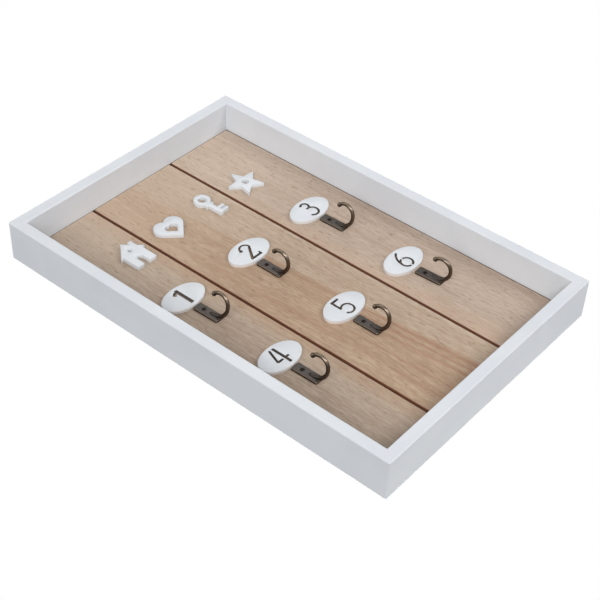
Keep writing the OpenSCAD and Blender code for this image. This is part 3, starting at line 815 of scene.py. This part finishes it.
# %% [markdown]
# The digits were cut right through the tags. The walls of such narrow slots are burnt brown and carry
# painted shade as well, which is what makes the numbers read as dark. Round the outside the edge is a
# little warmer than the face.

# %% Tags and ornaments
tag_paint = satin_paint(
    "sprayed_satin_paint_on_plywood", "#DDE1E5", "#D8DCE1", peel_mm=0.8, peel_depth_mm=0.015,
    # The slot-wall mark is burnt wood darkened further as painted shade. The edge mark is a warmer white.
    marks=[("cut", 0.9, "#4B4038"), ("rim", 1, "#DDDBDA")])
ornament_paint = satin_paint("sprayed_satin_paint_on_mdf_cutouts", "#DDE1E5", "#D8DCE1", 0.8, 0.015)
for name in sorted(nodes):
    if name.startswith("tag"):
        made = softened(name, width_mm=0.35)
        mark_walls(made)
        place_piece(f"{name}_painted", made, tag_paint, "white_cutout", name)
        print(name, len(made.polygons), "faces")
    elif name.startswith("ornament"):
        made = softened(name, width_mm=0.25)
        place_piece(f"{name}_painted", made, ornament_paint, "white_cutout", name)
        print(name, len(made.polygons), "faces")

# %% [markdown]
# Floor, light and background
#
# The picture is a plain studio shot on white. Its lights are large, soft and near the camera, so that their
# shadows hide behind what casts them and the inner walls are as bright as the outer ones. The white behind
# the object comes from the world as the camera sees it. The light that falls on the object is a separate,
# much lower strength of the same world, plus the lamps. The large ones stand far away, so that no end of the
# frame is brighter, and a small one near the upper right corner evens out the rim. The last two only show in
# views from the right and from behind. The floor lies far below the frame and is small, so that it throws
# little light back on the underside.

# %% Stage and light
FLOOR_Z, FLOOR_R, FLOOR_SIDES = -1.1, 0.9, 96
AMBIENT = 0.18
LAMPS = {
    # name: (place, target, side in metres, watts)
    "left": ((-2.4, -1.76, -0.9), (0, 0, -0.12), 1.3, 48),
    "key by the camera": ((-1.43, -2.25, -1.6), (0, 0, -0.12), 1.3, 18),
    "lower right": ((0.7, -1.4, -1.35), (0, 0, -0.12), 0.7, 13),
    "upper left": ((-0.9, -1.0, 1.2), (0, 0, 0), 0.6, 2.5),
    "upper right": ((0.55, -0.65, 0.35), (0.05, 0, -0.05), 0.4, 1.2),
    "right": ((1.5, 0.2, 0.4), (0, 0, -0.1), 0.8, 8),
    "rear": ((0.8, 1.5, 0.0), (0, 0, -0.12), 1.2, 16),
}


def add_lamp(name, place, target, side, watts):
    """Square area lamp that faces its target."""
    data = bpy.data.lights.new(name, "AREA")
    data.size, data.energy = side, watts
    lamp = bpy.data.objects.new(name, data)
    lamp.location = place
    lamp.rotation_mode = "QUATERNION"
    lamp.rotation_quaternion = (Vector(target) - Vector(place)).to_track_quat("-Z", "Y")
    bpy.context.scene.collection.objects.link(lamp)
    return lamp


def white_world():
    """Background of strength 1 to the camera, off a gloss and through glass, and of AMBIENT to other rays."""
    world = bpy.data.worlds.new("studio")
    bpy.context.scene.world = world
    world.use_nodes = True
    tree = world.node_tree
    tree.nodes.clear()
    rays = add(tree, "LightPath")
    seen = rays.outputs["Is Camera Ray"]
    for key in ("Is Glossy Ray", "Is Transmission Ray"):
        seen = add(tree, "Math", {0: seen, 1: rays.outputs[key]}, operation="MAXIMUM")
    strength = add(tree, "MapRange", {"Value": seen, "To Min": AMBIENT, "To Max": 1})
    sky = add(tree, "Background", {"Color": linear("#FFFFFF"), "Strength": strength})
    add(tree, "OutputWorld", {"Surface": sky})


def pale_floor():
    """Disc (R cos a, R sin a, Z) whose paint fades to clear towards its rim, so that no edge shows."""
    a = np.linspace(0, math.tau, FLOOR_SIDES, endpoint=False)
    rim = np.stack([FLOOR_R * np.cos(a), FLOOR_R * np.sin(a), 0 * a + FLOOR_Z], -1)
    disc = mesh_from("floor", rim, [list(range(FLOOR_SIDES))])
    material, tree, place = new_material("pale_floor")
    flat = add(tree, "VectorMath", {0: place, 1: (1, 1, 0)}, operation="MULTIPLY")
    away = add(tree, "VectorMath", {0: flat}, operation="LENGTH")
    fade = {"Value": away, "From Min": 0.35 * FLOOR_R, "From Max": 0.95 * FLOOR_R, "To Min": 1, "To Max": 0}
    solid = add(tree, "MapRange", fade, **SMOOTH)
    matt = add(tree, "BsdfDiffuse", {"Color": linear("#E8E8E8")})
    clear = add(tree, "BsdfTransparent")
    surface = add(tree, "MixShader", {0: solid, 1: clear, 2: matt})
    add(tree, "OutputMaterial", {"Surface": surface})
    disc.materials.append(material)
    floor = bpy.data.objects.new("floor", disc)
    bpy.context.scene.collection.objects.link(floor)


white_world()
pale_floor()
for name, (place, target, side, watts) in LAMPS.items():
    add_lamp(name, place, target, side, watts)
bpy.context.scene.view_settings.view_transform = "Standard"
print(len(LAMPS), "lamps over an ambient light of", AMBIENT)
